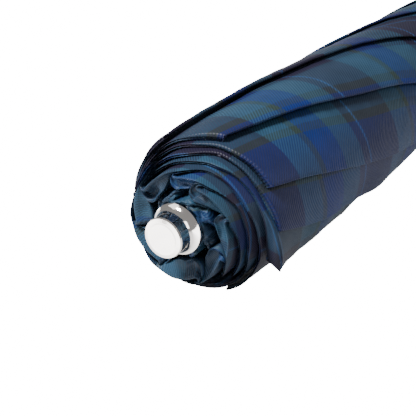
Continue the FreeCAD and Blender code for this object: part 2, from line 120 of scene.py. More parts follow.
def creaseField(seed, count, lowest, highest, mostRounds):
    # flat facets with sharp creases between them, periodic round the roll
    rng = np.random.default_rng(seed)
    rounds = rng.integers(2, mostRounds, count) * rng.choice((-1, 1), count)
    lengths = rng.uniform(lowest, highest, count)
    phases = rng.uniform(0.0, 1.0, count)

    def field(along, azimuth):
        total = 0.0
        for k in range(count):
            place = along / lengths[k] + rounds[k] * azimuth / turn + phases[k]
            total = total + 1.0 - 2.0 * np.abs(2.0 * (place - np.floor(place)) - 1.0)
        return total / count
    return field


def lineNoise(seed, count, lowest, highest):
    # a smooth random line, used for one pleat's edge
    rng = np.random.default_rng(seed)
    lengths = rng.uniform(lowest, highest, count)
    phases = rng.uniform(0.0, 2.0 * math.pi, count)

    def line(along):
        total = 0.0
        for k in range(count):
            total = total + np.sin(2.0 * math.pi * along / lengths[k] + phases[k])
        return total / count
    return line


# Rolled canopy: one sheet of eight gores, each folded in half along its middle and wrapped clockwise round
# the shaft. Lengths are in millimetres, azimuths in degrees from +Z towards -Y.
canopySizes = {
    "firstRib": -2.0,
    "knees": [-10.0, 25.0, 75.0, 123.0, 163.0, 213.0, 259.0, 304.0],
    "wraps": [225.0, 240.0, 243.0, 247.0, 257.0, 239.0, 220.0, 221.0],
    "twist": 0.39,                 # degrees of wrap gained for each millimetre along the roll
    "wrapFrom": 30.0,
    "lateTwist": 0.42,             # more of it past here, towards the strap
    "lateFrom": 135.0,
    "innerRadius": 18.9,
    "hemInner": 19.6,
    "outline": [(12.0, 29.6), (22.0, 30.2), (38.0, 30.8), (70.0, 31.6), (110.0, 31.2), (150.0, 29.5),
                (185.0, 28.1), (215.0, 26.9), (240.0, 25.6), (253.0, 24.7), (262.0, 24.4), (271.0, 24.7),
                (285.0, 24.6), (300.0, 24.4)],
    "leanAzimuth": 219.0,          # the roll's crown end hangs this way
    "leanOuter": (0.9, 4.6),
    "leanKnee": (0.6, 2.4),
    "leanOutside": 4.5,            # pleats from the inside to where the lean is that of the outside
    "leanFrom": 18.0, "leanFade": 28.0,
    "kneeHeights": [0.5, -1.2, 0.8, 0.2, -0.8, 1.1, 0.3, -0.9],
    "kneeShares": [1.0, 1.12, 1.02, 1.1, 0.98, 1.08, 1.0, 1.05],
    "ribPast": 8.0,                # degrees past its rib before a middle layer may drop
    "dipFade": 0.7,
    "crestAt": 12.8,
    # how far a crest falls back, by its depth
    "crestSteps": [(0.0, 0.0), (0.5, 0.3), (1.1, 1.4), (1.8, 7.2), (2.4, 8.4), (2.9, 10.2), (3.7, 14.8),
                   (4.3, 15.8), (5.4, 18.4), (8.0, 24.0)],
    "crestWave": 1.5, "crestRipple": 0.35,
    "crestGap": 0.16,
    "lipDepth": 3.2, "rimRise": 0.28, "rimFrom": 0.72,
    # a lip's section at the knees: place across it, and how far down
    "lipHollow": [(0.0, 3.2), (0.11, 0.4), (0.22, 0.9), (0.33, 2.0), (0.5, 2.9), (0.67, 2.5), (0.8, 1.1),
                  (0.9, 0.1)],
    "pucker": 1.5, "kneeCrumple": 0.9,
    "hemAt": 299.0,
    "hemStep": 2.6,
    "kneeInner": 13.7,
    "kneeDip": 0.5,
    "turnAt": 56.0, "turnBulge": 2.5, "turnWrap": 6.0,
    "layerGap": 0.11,
    "petalPeak": 12.7, "petalMost": 13.2,
    "petalDeep": 6.5, "petalOut": 0.8,     # how far the lobes' valleys go down and their tops come up
    "petalWrap": 63.0, "petalIn": 14.0,
    "petalCreases": [(2.4, 1.2), (0.8, 0.5)],      # along and outward, of the sharp and the small ones
    "discHole": 2.7, "discEdge": 10.0, "discAt": 11.9,
    "freeStrip": 48.0,             # degrees of a pleat that no other pleat covers
    "liftFrom": 28.0, "liftFade": 60.0, "hangingFade": 16.0,
    "hanging": 6,                  # the pleat whose corner hangs down
    "slip": 9.0, "slipFrom": 26.0, "slipFade": 22.0,
    "strapAt": 262.0,
    "ripples": (0.6, 0.24),
    "wrapWander": 2.2,
    "clothRadius": 25.0,           # turns degrees of wrap into millimetres of pattern
    "columns": (54, 5, 40, 13),        # outer layer, edge fold, inner layer, rib fold
    "rows": (4, 26, 5, 4, 9, 8, 47),   # disc, petals, inner, turn, middle, crest, outer
    "bandStart": 14.0,             # how far the tartan is along already at the crown's end
    "phases": [27.0, 9.0, 52.0, 5.0, 17.0, 16.0, 36.0, 60.0],   # each pleat's edge in the tartan
    "flapLift": [0.2, 1.4, 0.9, 1.4, 1.3, 1.5, 7.6, 0.8],       # how far each pleat's corner stands off
}


def canopyColumns(counts):
    # position of every column: gore, place from rib to edge, side, and the two folds' bulges
    layerA, edgeFold, layerB, ribFold = counts
    qA = mix(np.linspace(0, 1, layerA), smooth(np.linspace(0, 1, layerA)), 0.55)
    qB = mix(np.linspace(1, 0, layerB), 1.0 - smooth(np.linspace(0, 1, layerB)), 0.55)
    edge = np.linspace(0, math.pi, edgeFold + 2)[1:-1]
    rib = np.linspace(math.pi, 0, ribFold + 2)[1:-1]
    parts = []
    for gore in range(8):
        for count, q, side, edgeBulge, ribBulge, ribShare in (
                (layerA, qA, 1.0, 0.0, 0.0, 0.0),
                (edgeFold, 1.0, np.cos(edge), np.sin(edge), 0.0, 0.0),
                (layerB, qB, -1.0, 0.0, 0.0, 0.0),
                (ribFold, 0.0, -1.0, 0.0, np.sin(rib), (1.0 + np.cos(rib)) * 0.5)):
            parts.append(np.stack([value + np.zeros(count)
                                   for value in (gore, q, side, edgeBulge, ribBulge, ribShare)]))
    return np.concatenate(parts, axis=1)


def makeCanopy(sizes):
    gore, q, side, edgeBulge, ribBulge, ribShare = canopyColumns(sizes["columns"])
    gore = gore.astype(int)
    knees = np.array(sizes["knees"])
    wraps = np.array(sizes["wraps"])
    nextKnee = np.append(knees[1:], knees[0] + turn)
    isRib = ribBulge > 0
    owner = np.where((side > 0) & ~isRib, gore, (gore + 1) % 8)

    # depth counts pleats from the inside: it rises by one from knee to knee at every azimuth
    grid = np.arange(-720, 1441, 1.0)
    turns = np.concatenate([knees + turn * k for k in range(-3, 6)])
    counts = np.concatenate([np.arange(8) + 8 * k for k in range(-3, 6)])
    raw = np.interp(grid, turns, counts)
    kernel = np.exp(-0.5 * (np.arange(-24, 25) / 8.0) ** 2)
    steady = grid / 45.0
    pleats = np.convolve(np.pad(raw - steady, 24, mode="edge"), kernel / kernel.sum(), "valid") + steady

    def pleatCount(azimuth):
        return np.interp(azimuth, grid, pleats)

    edgeWave = [lineNoise(40 + k, 4, 45.0, 130.0) for k in range(8)]
    liftWave = [lineNoise(60 + k, 3, 50.0, 140.0) for k in range(8)]
    ripple = waveField(7, 9, 26.0, 75.0)
    fine = waveField(11, 10, 11.0, 24.0)
    layerWave = waveField(23, 7, 40.0, 90.0)
    crumple = creaseField(31, 4, 9.0, 20.0, 11)
    smallCrumple = creaseField(37, 4, 4.0, 9.0, 19)
    kneeHeight = np.array(sizes["kneeHeights"])
    kneeSize = np.array(sizes["kneeShares"])
    outlineX, outlineR = np.array(sizes["outline"]).T
    stepDepth, stepBack = np.array(sizes["crestSteps"]).T

    def twistAt(along):
        late = np.maximum(along - sizes["lateFrom"], 0.0)
        twist = sizes["twist"] * (along - sizes["wrapFrom"])
        return twist + sizes["lateTwist"] * late * smooth(late / 60.0)

    def wrapAt(along):
        wave = np.choose(gore, [edgeWave[k](along) for k in range(8)])
        wander = sizes["wrapWander"] * wave * smooth((along - 24.0) / 30.0)
        return wraps[gore] + twistAt(along) + wander

    def azimuths(wrap):
        # outer layers run from their own rib, inner layers back to the next one
        ownEdge = knees[gore] + wrap
        inner = nextKnee[gore] + q * (ownEdge - nextKnee[gore])
        return np.where(side > 0, knees[gore] + q * wrap, np.where(edgeBulge > 0, ownEdge, inner))

    def lean(psi, along, depth):
        way = np.cos(np.radians(psi - sizes["leanAzimuth"]))
        atKnee = np.maximum(sizes["leanKnee"][0] + sizes["leanKnee"][1] * way, 0.0)
        outside = sizes["leanOuter"][0] + sizes["leanOuter"][1] * way
        fade = np.exp(-np.maximum(along - sizes["leanFrom"], 0.0) / sizes["leanFade"])
        return mix(atKnee, outside, np.clip(depth / sizes["leanOutside"], 0.0, 1.0)) * fade

    # the folded ribs lie just past their knees, and the cloth stays down until it has passed them
    ribs = sizes["firstRib"] + turn / 8.0 * np.arange(8)
    past = (pleatCount(ribs + sizes["ribPast"]) - pleatCount(knees))[owner]

    def spiral(along, wrap, gap, dip, held=0.0, leanFrom=None):
        # azimuth, radius and depth of a row of the wrapped part
        psi = azimuths(wrap)
        inner = mix(sizes["innerRadius"], sizes["hemInner"], smooth((along - 270.0) / 25.0))
        layers = (wraps.mean() + twistAt(along)) / 45.0
        pitch = (np.interp(along, outlineX, outlineR) - inner) / layers
        depth = pleatCount(psi) - pleatCount(knees[gore])
        dipped = dip * (1.0 - smooth((depth - held) / sizes["dipFade"]))
        radius = inner + pitch * depth + side * gap * pitch - dipped
        # rib fold: from the inner layer's end, depth one, to the next gore's start at depth nothing
        start = inner + pitch - gap * pitch
        finish = inner + gap * pitch - dip
        radius = np.where(isRib, mix(start, finish, ribShare), radius)
        swing = np.degrees(np.abs(start - finish) * 0.5 * ribBulge / radius)
        psi = np.where(isRib, nextKnee[gore] - swing, psi)
        psi = psi + np.degrees(edgeBulge * gap * pitch / radius) * 0.6
        depth = np.where(isRib, 1.0 - ribShare, depth)
        leaning = lean(psi, along, depth)
        if leanFrom is not None:
            leaning = leaning * smooth((depth - leanFrom) / sizes["dipFade"])
        return psi, radius + leaning, depth

    rows = []
    vRows = []
    spans = []

    wholeSpan = 1000.0     # no limit: half a gore is as long as its wrap

    def addRow(along, psi, radius, v, span):
        # v is the place along the cloth, span the most that half a gore measures there
        rows.append(ringPoint(along, psi, radius))
        vRows.append(v + np.zeros_like(psi))
        spans.append(span + np.zeros_like(psi))

    discRows, petalRows, innerRows, turnRows, middleRows, crestRows, outerRows = sizes["rows"]
    rng = np.random.default_rng(5)
    petalTwist = rng.uniform(-9.0, 9.0, 8)
    petalSize = rng.uniform(-0.6, 0.6, 8)
    petalWrap = sizes["petalWrap"] + petalTwist[gore]

    def petals(wrap, valley, peak, gap):
        # the small lobes of cloth between the top ribs
        psi = azimuths(wrap)
        rise = np.where(side > 0, q ** 0.8, q ** 1.3)
        radius = mix(valley, peak, rise) + side * gap
        radius = np.where(isRib, valley + gap * (2.0 * ribShare - 1.0), radius)
        psi = np.where(isRib, nextKnee[gore] - np.degrees(gap / radius) * ribBulge, psi)
        return psi + np.degrees(edgeBulge * gap / radius), radius

    halfGap = (nextKnee - knees)[gore] * 0.5
    # crown disc, from the finial's stud out to where the cloth turns down
    for k in range(discRows):
        radius = mix(sizes["discHole"], sizes["discEdge"], k / discRows)
        psi = np.where(side > 0, knees[gore] + q * halfGap, nextKnee[gore] - q * halfGap)
        psi = np.where(isRib, nextKnee[gore], psi)
        addRow(sizes["discAt"], psi, np.full(len(q), radius), radius + 8.0, 5.0)
    # petals: they swell past the disc, lean over clockwise and dive between the knees
    for k in range(petalRows):
        share = (k + 1) / petalRows
        wrap = mix(halfGap, petalWrap, smooth(share * 1.15))
        valley = sizes["discEdge"] + 0.5 * share
        peak = sizes["discEdge"] + (sizes["petalPeak"] - sizes["discEdge"]) * smooth(share * 1.6) \
            + petalSize[gore] * smooth(share * 2)
        psi, radius = petals(wrap, valley, peak, 0.05 + 0.75 * smooth(share * 1.4))
        along = sizes["discAt"] + 0.5 * share + sizes["petalIn"] * share ** 2.0
        lobe = smooth(q * 1.7)
        along = along + sizes["petalDeep"] * (1.0 - lobe) * smooth(share * 3.0) * (1.0 - 0.5 * share)
        along = along - sizes["petalOut"] * lobe * math.sin(math.pi * min(1.0, share * 1.3))
        held = smooth(share * 3.0) * (1 - 0.4 * share)
        for field, (forward, outward) in zip((crumple, smallCrumple), sizes["petalCreases"]):
            crease = field(sizes["petalIn"] * share, psi) * held
            along = along - forward * crease
            radius = radius + outward * crease * (q > 0)
        radius = np.clip(radius, sizes["discEdge"] * min(1.0, 0.9 + share), sizes["petalMost"])
        addRow(along, psi, radius, sizes["discEdge"] + 8.0 + 16.0 * share, 12.0)
    lastAlong = rows[-1][:, 0] / mm
    lastPsi, lastRadius = psi, radius
    # inner part, down beside the top ribs
    for k in range(innerRows):
        share = (k + 1) / innerRows
        psi, radius = petals(petalWrap, sizes["discEdge"] + 0.5, sizes["petalPeak"] - 0.3, 0.5)
        psi = mix(lastPsi, psi, smooth(share))
        radius = mix(lastRadius, radius, smooth(share))
        addRow(mix(lastAlong, sizes["turnAt"], share), psi, radius,
               sizes["discEdge"] + 24.0 + 38.0 * share, 16.0)
    innerPsi, innerRadius = psi, radius
    # turn at the elbows
    turnWrap = petalWrap + sizes["turnWrap"]
    turnDip = sizes["innerRadius"] - sizes["kneeInner"] - 0.8
    elbows = np.full(len(q), sizes["turnAt"])
    midPsi, midRadius, depth = spiral(elbows, turnWrap, 0.12, turnDip, past, past)
    for k in range(turnRows):
        angle = math.pi * (k + 1) / (turnRows + 1)
        share = (1.0 - math.cos(angle)) * 0.5
        addRow(sizes["turnAt"] + sizes["turnBulge"] * math.sin(angle), mix(innerPsi, midPsi, share),
               mix(innerRadius, midRadius, share), sizes["discEdge"] + 62.0 + 5.0 * share, 18.0)

    # crest: where the middle part turns over into the outer part
    topWrap = wraps[gore].astype(float)
    crestPsi, crestRadius, crestDepth = spiral(np.full(len(q), sizes["leanFrom"]), topWrap,
                                               sizes["crestGap"], sizes["kneeDip"])
    kneeNear = 1.0 - smooth(np.where(isRib, 0.0, crestDepth) / 0.9)
    crest = sizes["crestAt"] + np.interp(crestDepth, stepDepth, stepBack)
    crest = crest + kneeNear * kneeHeight[owner]
    wavy = sizes["crestWave"] * layerWave(crestPsi * 0.9, crestPsi)
    wavy = wavy + sizes["crestRipple"] * fine(crestPsi * 0.5, crestPsi)
    crest = crest + wavy * smooth(crestDepth / 1.2)
    kneeDepth = (sizes["innerRadius"] - sizes["kneeInner"]) * kneeSize[owner]
    for k in range(middleRows):
        share = (k + 1) / middleRows
        along = mix(elbows, crest + sizes["lipDepth"], share)
        psi, radius, depth = spiral(along, mix(turnWrap, topWrap, smooth(share)), sizes["layerGap"],
                                    kneeDepth, past, past)
        psi = mix(midPsi, psi, smooth(share * 2.5))
        radius = mix(midRadius, radius, smooth(share * 2.5))
        dent = sizes["kneeCrumple"] * np.abs(crumple(along, psi))
        radius = radius - dent * kneeNear * smooth(share * 2.0 - 1.0)
        addRow(along, psi, radius, 2.0 * crest + sizes["bandStart"] - along, 60.0)
    midPsi, midRadius = psi, radius
    # the lip leans inwards to a sharp rim outside, and at the knees it is a hollow between two rims
    lipAcross, lipDown = np.array(sizes["lipHollow"]).T
    for k in range(crestRows):
        share = (k + 1) / (crestRows + 1)
        hollow = np.interp(share, lipAcross, lipDown)
        fall = mix(sizes["lipDepth"] * (1.0 - share) ** 1.3, hollow, kneeNear)
        rimShare = max(0.0, (share - sizes["rimFrom"]) / (1.0 - sizes["rimFrom"]))
        rim = sizes["rimRise"] * math.sin(math.pi * min(1.0, rimShare))
        radius = mix(midRadius, crestRadius, smooth(share * 0.5 + 0.5 * share ** 2))
        pucker = sizes["pucker"] * smallCrumple(6.0 * share, crestPsi) * kneeNear
        pucker = pucker * math.sin(math.pi * share)
        addRow(crest + fall - rim + pucker, mix(midPsi, crestPsi, share), radius,
               crest + sizes["bandStart"] - fall, wholeSpan)

    # outer part, from the crest to the hem
    hemLine = sizes["hemAt"] - sizes["hemStep"] * crestDepth
    for k in range(outerRows):
        share = (k / (outerRows - 1)) ** 1.5
        along = mix(crest, hemLine, share)
        wrap = wrapAt(along)
        near = np.exp(-np.maximum(along - sizes["crestAt"], 0) / 14.0)
        gap = mix(sizes["crestGap"], mix(0.30, 0.40, near), smooth((along - crest) / 9.0))
        psi, radius, depth = spiral(along, wrap, gap, sizes["kneeDip"] * near)
        # the strip of a pleat that no other pleat covers lifts a little towards its edge
        free = smooth((q - 1.0) * wrap / sizes["freeStrip"] + 1.0)
        strapOff = 1.0 - np.exp(-((along - sizes["strapAt"]) / 22.0) ** 2)
        fadeLength = np.where(gore == sizes["hanging"], sizes["hangingFade"], sizes["liftFade"])
        fade = np.exp(-np.maximum(along - sizes["liftFrom"], 0) / fadeLength)
        swell = np.choose(gore, [liftWave[n](along) for n in range(8)])
        lift = ((np.array(sizes["flapLift"])[gore] - 0.5) * fade + 0.5 + 0.5 * swell) * strapOff
        radius = radius + np.maximum(lift, 0) * free * smooth((along - 14.0) / 12.0)
        calm = 1.0 - 0.8 * np.exp(-((along - sizes["strapAt"]) / 20.0) ** 2)
        wave = sizes["ripples"][0] * ripple(along, psi) + sizes["ripples"][1] * fine(along, psi)
        radius = radius + wave * smooth(depth / 5.0) * smooth((along - 16.0) / 20.0) * calm
        slipped = np.exp(-np.maximum(along - sizes["slipFrom"], 0) / sizes["slipFade"])
        slip = sizes["slip"] * (gore == sizes["hanging"]) * slipped
        addRow(along, psi, radius, along + sizes["bandStart"] - slip, wholeSpan)

    points = np.stack(rows, 0)
    height, count = points.shape[:2]
    # pattern coordinates: across from the pleat's edge, along from the crown
    across = np.zeros((height, count))
    phases = np.array(sizes["phases"])[gore]
    for k in range(height):
        wrap = wraps[gore] if k < height - outerRows else wrapAt(points[k, :, 0] / mm)
        length = np.minimum(spans[k], np.radians(wrap) * sizes["clothRadius"])
        across[k] = np.where(isRib, length + phases + 3.0 * ribShare, phases - side * (1.0 - q) * length)
    uv = np.stack([across, np.stack(vRows, 0)], 2) / 100.0
    print("canopy", count, "columns", height, "rows")
    return addMesh("canopy_cloth", points.reshape(-1, 3), gridFaces(height, count), uv.reshape(-1, 2))


canopyCloth = makeCanopy(canopySizes)
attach(canopyCloth, "rolled_top")
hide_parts("canopy")
print("cloth area", round(sum(p.area for p in canopyCloth.data.polygons), 3))


def newMaterial(name):
    material = bpy.data.materials.new(name)
    material.use_nodes = True
    tree = material.node_tree
    return material, tree, tree.nodes["Principled BSDF"]


def mathNode(tree, operation, *values):
    node = tree.nodes.new("ShaderNodeMath")
    node.operation = operation
    for socket, value in zip(node.inputs, values):
        if isinstance(value, (int, float)):
            socket.default_value = value
        else:
            tree.links.new(value, socket)
    return node.outputs[0]


def mixColor(tree, kind, share, first, second):
    node = tree.nodes.new("ShaderNodeMix")
    node.data_type = "RGBA"
    node.blend_type = kind
    for name, value in (("Factor", share), (6, first), (7, second)):
        socket = node.inputs[name]
        if isinstance(value, (int, float)):
            socket.default_value = value
        elif isinstance(value, tuple):
            socket.default_value = (*value, 1)
        else:
            tree.links.new(value, socket)
    return node.outputs[2]


def addNoise(tree, vector, scale, detail=2.0):
    noise = tree.nodes.new("ShaderNodeTexNoise")
    noise.inputs["Scale"].default_value = scale
    noise.inputs["Detail"].default_value = detail
    tree.links.new(vector, noise.inputs["Vector"])
    return noise.outputs


def addBump(tree, height, strength, distance, normal=None):
    bump = tree.nodes.new("ShaderNodeBump")
    bump.inputs["Strength"].default_value = strength
    bump.inputs["Distance"].default_value = distance
    tree.links.new(height, bump.inputs["Height"])
    if normal is not None:
        tree.links.new(normal, bump.inputs["Normal"])
    return bump.outputs[0]


def smoothStep(tree, value, low, high):
    step = tree.nodes.new("ShaderNodeMapRange")
    step.interpolation_type = "SMOOTHSTEP"
    step.inputs["From Min"].default_value = low
    step.inputs["From Max"].default_value = high
    tree.links.new(value, step.inputs["Value"])
    return step.outputs[0]


# Stripes of the tartan, in millimetres from the start of its repeat, the same in warp and weft.
tartan = {
    "repeat": 75.0,
    "stripes": [(0.0, "olive"), (3.0, "navy"), (17.0, "teal"), (31.0, "black"), (36.0, "line"),
                (37.2, "black"), (40.8, "line"), (42.0, "black"), (47.0, "teal"), (61.0, "navy")],
    "yarns": {"olive": (0.015, 0.026, 0.024), "navy": (0.004, 0.014, 0.085),
              "teal": (0.014, 0.040, 0.070), "black": (0.010, 0.008, 0.020), "line": (0.016, 0.044, 0.120)},
    "twill": 1.3,                  # from one diagonal rib to the next, measured across the cloth
    "weft": (0.24, 0.52), "ribShade": (0.18, 0.80), "worn": (0.5, 0.75),     # swing and middle of each
    "mottle": 14.0,
    "bump": 0.20, "bumpDepth": 0.0003,
    "roughness": 0.46, "specular": 0.12,
    "sheen": 0.03, "sheenRoughness": 0.4, "sheenTint": (0.5, 0.75, 1.0),
}


def tartanCloth(name, sizes):
    material, tree, shader = newMaterial(name)
    uvNode = tree.nodes.new("ShaderNodeUVMap")
    uvNode.uv_map = "cloth"
    split = tree.nodes.new("ShaderNodeSeparateXYZ")
    tree.links.new(uvNode.outputs[0], split.inputs[0])
    colors = []
    for axis in (0, 1):
        place = mathNode(tree, "MULTIPLY", split.outputs[axis], 100.0 / sizes["repeat"])
        place = mathNode(tree, "FRACT", place)
        ramp = tree.nodes.new("ShaderNodeValToRGB")
        ramp.color_ramp.interpolation = "CONSTANT"
        elements = ramp.color_ramp.elements
        for index, (start, yarn) in enumerate(sizes["stripes"]):
            element = elements[index] if index < 2 else elements.new(0.5)
            element.position = start / sizes["repeat"]
            element.color = (*sizes["yarns"][yarn], 1)
        tree.links.new(place, ramp.inputs[0])
        colors.append(ramp.outputs[0])
    # warp and weft take turns to show along each diagonal rib of the twill
    diagonal = mathNode(tree, "ADD", split.outputs[0], split.outputs[1])
    phase = mathNode(tree, "MULTIPLY", diagonal, 200.0 * math.pi / sizes["twill"])
    wave = mathNode(tree, "SINE", phase)
    share = mathNode(tree, "MULTIPLY_ADD", wave, *sizes["weft"])
    cloth = mixColor(tree, "MIX", share, colors[0], colors[1])
    # painted shade: the colour is darkened along the grooves between the twill's ribs, where the bump dips
    groove = mathNode(tree, "MULTIPLY_ADD", wave, *sizes["ribShade"])
    cloth = mixColor(tree, "MULTIPLY", 1.0, cloth, groove)
    mottle = addNoise(tree, uvNode.outputs[0], sizes["mottle"], 4.0)
    worn = mathNode(tree, "MULTIPLY_ADD", mottle[0], *sizes["worn"])
    cloth = mixColor(tree, "MULTIPLY", 1.0, cloth, worn)
    tree.links.new(cloth, shader.inputs["Base Color"])
    tree.links.new(addBump(tree, wave, sizes["bump"], sizes["bumpDepth"]), shader.inputs["Normal"])
    shader.inputs["Roughness"].default_value = sizes["roughness"]
    shader.inputs["Specular IOR Level"].default_value = sizes["specular"]
    shader.inputs["Sheen Weight"].default_value = sizes["sheen"]
    shader.inputs["Sheen Roughness"].default_value = sizes["sheenRoughness"]
    shader.inputs["Sheen Tint"].default_value = (*sizes["sheenTint"], 1)
    return material


clothMaterial = tartanCloth("tartan_twill", tartan)
canopyCloth.data.materials.append(clothMaterial)


def clothTube(name, line, radius, sides=6):
    # a thin closed tube along a closed line of points
    count = len(line)
    ahead = np.roll(line, -1, 0) - np.roll(line, 1, 0)
    ahead /= np.linalg.norm(ahead, axis=1, keepdims=True) + 1e-12
    first = np.cross(ahead, (1.0, 0.0, 0.0))
    first /= np.linalg.norm(first, axis=1, keepdims=True) + 1e-12
    second = np.cross(ahead, first)
    angles = 2.0 * math.pi * np.arange(sides) / sides
    around = first[:, None] * np.cos(angles)[:, None] + second[:, None] * np.sin(angles)[:, None]
    points = (line[:, None] + radius * around).reshape(-1, 3)
    faces = [(a, d, c, b) for a, b, c, d in gridFaces(count, sides, loopRows=True)]
    uv = np.stack([np.repeat(np.arange(count), sides), np.tile(np.arange(sides), count)], 1) * 0.004
    return addMesh(name, points, faces, uv)


# Hem: the cloth's edge is turned over into a thin roll, all round.
hem = {"radius": 0.42, "sides": 6}


def makeHem(sizes):
    count = sum(canopySizes["columns"]) * 8
    coords = np.zeros(len(canopyCloth.data.vertices) * 3)
    canopyCloth.data.vertices.foreach_get("co", coords)
    line = coords.reshape(-1, 3)[-count:]
    thing = clothTube("canopy_hem", line, sizes["radius"] * mm, sizes["sides"])
    thing.data.materials.append(clothMaterial)
    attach(thing, "rolled_top")
    return thing


hemRoll = makeHem(hem)
print("hem made")


# Closing strap, a doubled band of the same cloth round the roll, and its free end with the snap.
strap = {
    "centre": 262.0, "width": 18.0, "thickness": 0.9, "radius": 25.15,
    "waist": 0.16,                 # how far the band's middle is drawn in
    "steps": 240, "around": 28,
    "tabWidth": 15.0, "tabRadius": 26.95, "tabRound": 6.2,
    "tabFrom": -27.0, "tabHinge": -12.0, "tabTo": 40.0,
    "stitchIn": 1.7, "stitchPitch": 1.9, "stitchLength": 1.35, "thread": 0.17,
}


def bandSection(width, thickness, count):
    # points round a flat band's section: place across, and height through it, edges rounded
    angles = 2.0 * math.pi * (np.arange(count) + 0.5) / count
    across = np.sign(np.cos(angles)) * np.abs(np.cos(angles)) ** 0.45
    height = np.sign(np.sin(angles)) * np.abs(np.sin(angles)) ** 0.60
    return across * width * 0.5, height * thickness * 0.5


def makeStrapBand(sizes):
    across, height = bandSection(sizes["width"], sizes["thickness"], sizes["around"])
    wave = waveField(71, 6, 40.0, 90.0)
    azimuth = np.arange(sizes["steps"]) * turn / sizes["steps"]
    points, uv = [], []
    for angle in azimuth:
        tight = sizes["waist"] * (1.0 - (across / across.max()) ** 2)
        angles = np.full(len(across), angle)
        radius = sizes["radius"] + height - tight + 0.12 * wave(across * 0.5, angles)
        points.append(ringPoint(sizes["centre"] + across, angles, radius))
        uv.append(np.stack([np.radians(angles) * sizes["radius"], across + 17.0], 1) / 100.0)
    faces = gridFaces(sizes["steps"], sizes["around"], loopRows=True)
    return addMesh("closing_strap", np.concatenate(points), faces, np.concatenate(uv))


def tabRise(sizes, azimuth):
    # the tab leaves the band's surface and stands off it before the hinge line
    low = sizes["radius"] + sizes["thickness"] * 0.95
    return mix(low, sizes["tabRadius"], smooth((azimuth - sizes["tabFrom"] - 4.0) / 9.0))


def makeStrapTab(sizes):
    azimuth = np.linspace(sizes["tabFrom"], sizes["tabTo"], 110)
    fromEnd = np.radians(sizes["tabTo"] - azimuth) * sizes["tabRadius"]
    fromRoot = np.radians(azimuth - sizes["tabFrom"]) * sizes["tabRadius"]
    roundness = sizes["tabRound"]
    half = sizes["tabWidth"] * 0.5 - roundness + np.sqrt(
        np.maximum(roundness ** 2 - np.maximum(roundness - fromEnd, 0.0) ** 2, 0.0))
    taper = np.minimum(smooth(fromEnd / 0.5), 1.0) * np.minimum(smooth(fromRoot / 0.5 + 0.1), 1.0)
    points, uv = [], []
    around = sizes["around"]
    for k, angle in enumerate(azimuth):
        across, height = bandSection(1.0, sizes["thickness"] * max(taper[k], 0.15), around)
        across = across * 2.0 * half[k]
        radius = tabRise(sizes, angle) + height - 0.10 * (across / sizes["tabWidth"]) ** 2
        points.append(ringPoint(sizes["centre"] + across, angle + np.zeros_like(across), radius))
        uv.append(np.stack([fromRoot[k] + 40.0 + across * 0, across + 17.0], 1) / 100.0)
    faces = gridFaces(len(azimuth), around)
    last = (len(azimuth) - 1) * around
    faces.append(tuple(range(around)))
    faces.append(tuple(last + j for j in reversed(range(around))))
    return addMesh("strap_end", np.concatenate(points), faces, np.concatenate(uv))


def stitchTree():
    # sews a run of stitches along each line of the mesh it is given
    tree = bpy.data.node_groups.new("sewn_line", "GeometryNodeTree")
    sockets = {}
    kinds = {"Line": "Geometry", "Pitch": "Float", "Length": "Float", "Thread": "Float", "Slant": "Float",
             "Finish": "Material", "Stitches": "Geometry"}
    for name, kind in kinds.items():
        way = "OUTPUT" if name == "Stitches" else "INPUT"
        socket = tree.interface.new_socket(name, in_out=way, socket_type="NodeSocket" + kind)
        sockets[name] = socket.identifier
    add = tree.nodes.new
    link = tree.links.new
    start, end = add("NodeGroupInput"), add("NodeGroupOutput")
    curve = add("GeometryNodeMeshToCurve")
    link(start.outputs["Line"], curve.inputs["Mesh"])
    spaced = add("GeometryNodeCurveToPoints")
    spaced.mode = "LENGTH"
    link(curve.outputs[0], spaced.inputs["Curve"])
    link(start.outputs["Pitch"], spaced.inputs["Length"])
    stitch = add("GeometryNodeMeshUVSphere")
    stitch.inputs["Segments"].default_value = 6
    stitch.inputs["Rings"].default_value = 5
    stitch.inputs["Radius"].default_value = 1.0
    size = add("ShaderNodeCombineXYZ")
    half = add("ShaderNodeMath")
    half.operation = "MULTIPLY"
    half.inputs[1].default_value = 0.5
    link(start.outputs["Length"], half.inputs[0])
    link(start.outputs["Thread"], size.inputs[0])
    link(start.outputs["Thread"], size.inputs[1])
    link(half.outputs[0], size.inputs[2])
    aim = add("FunctionNodeAlignRotationToVector")
    aim.axis = "Z"
    link(spaced.outputs["Tangent"], aim.inputs["Vector"])
    slant = add("FunctionNodeRotateRotation")
    slant.rotation_space = "LOCAL"
    lean = add("FunctionNodeAxisAngleToRotation")
    lean.inputs["Axis"].default_value = (1.0, 0.0, 0.0)
    link(start.outputs["Slant"], lean.inputs["Angle"])
    link(aim.outputs[0], slant.inputs[0])
    link(lean.outputs[0], slant.inputs[1])
    sewn = add("GeometryNodeInstanceOnPoints")
    link(spaced.outputs["Points"], sewn.inputs["Points"])
    link(stitch.outputs["Mesh"], sewn.inputs["Instance"])
    link(slant.outputs[0], sewn.inputs["Rotation"])
    link(size.outputs[0], sewn.inputs["Scale"])
    real = add("GeometryNodeRealizeInstances")
    link(sewn.outputs[0], real.inputs[0])
    finish = add("GeometryNodeSetMaterial")
    link(real.outputs[0], finish.inputs["Geometry"])
    link(start.outputs["Finish"], finish.inputs["Material"])
    link(finish.outputs[0], end.inputs["Stitches"])
    return tree, sockets


sewing = stitchTree()


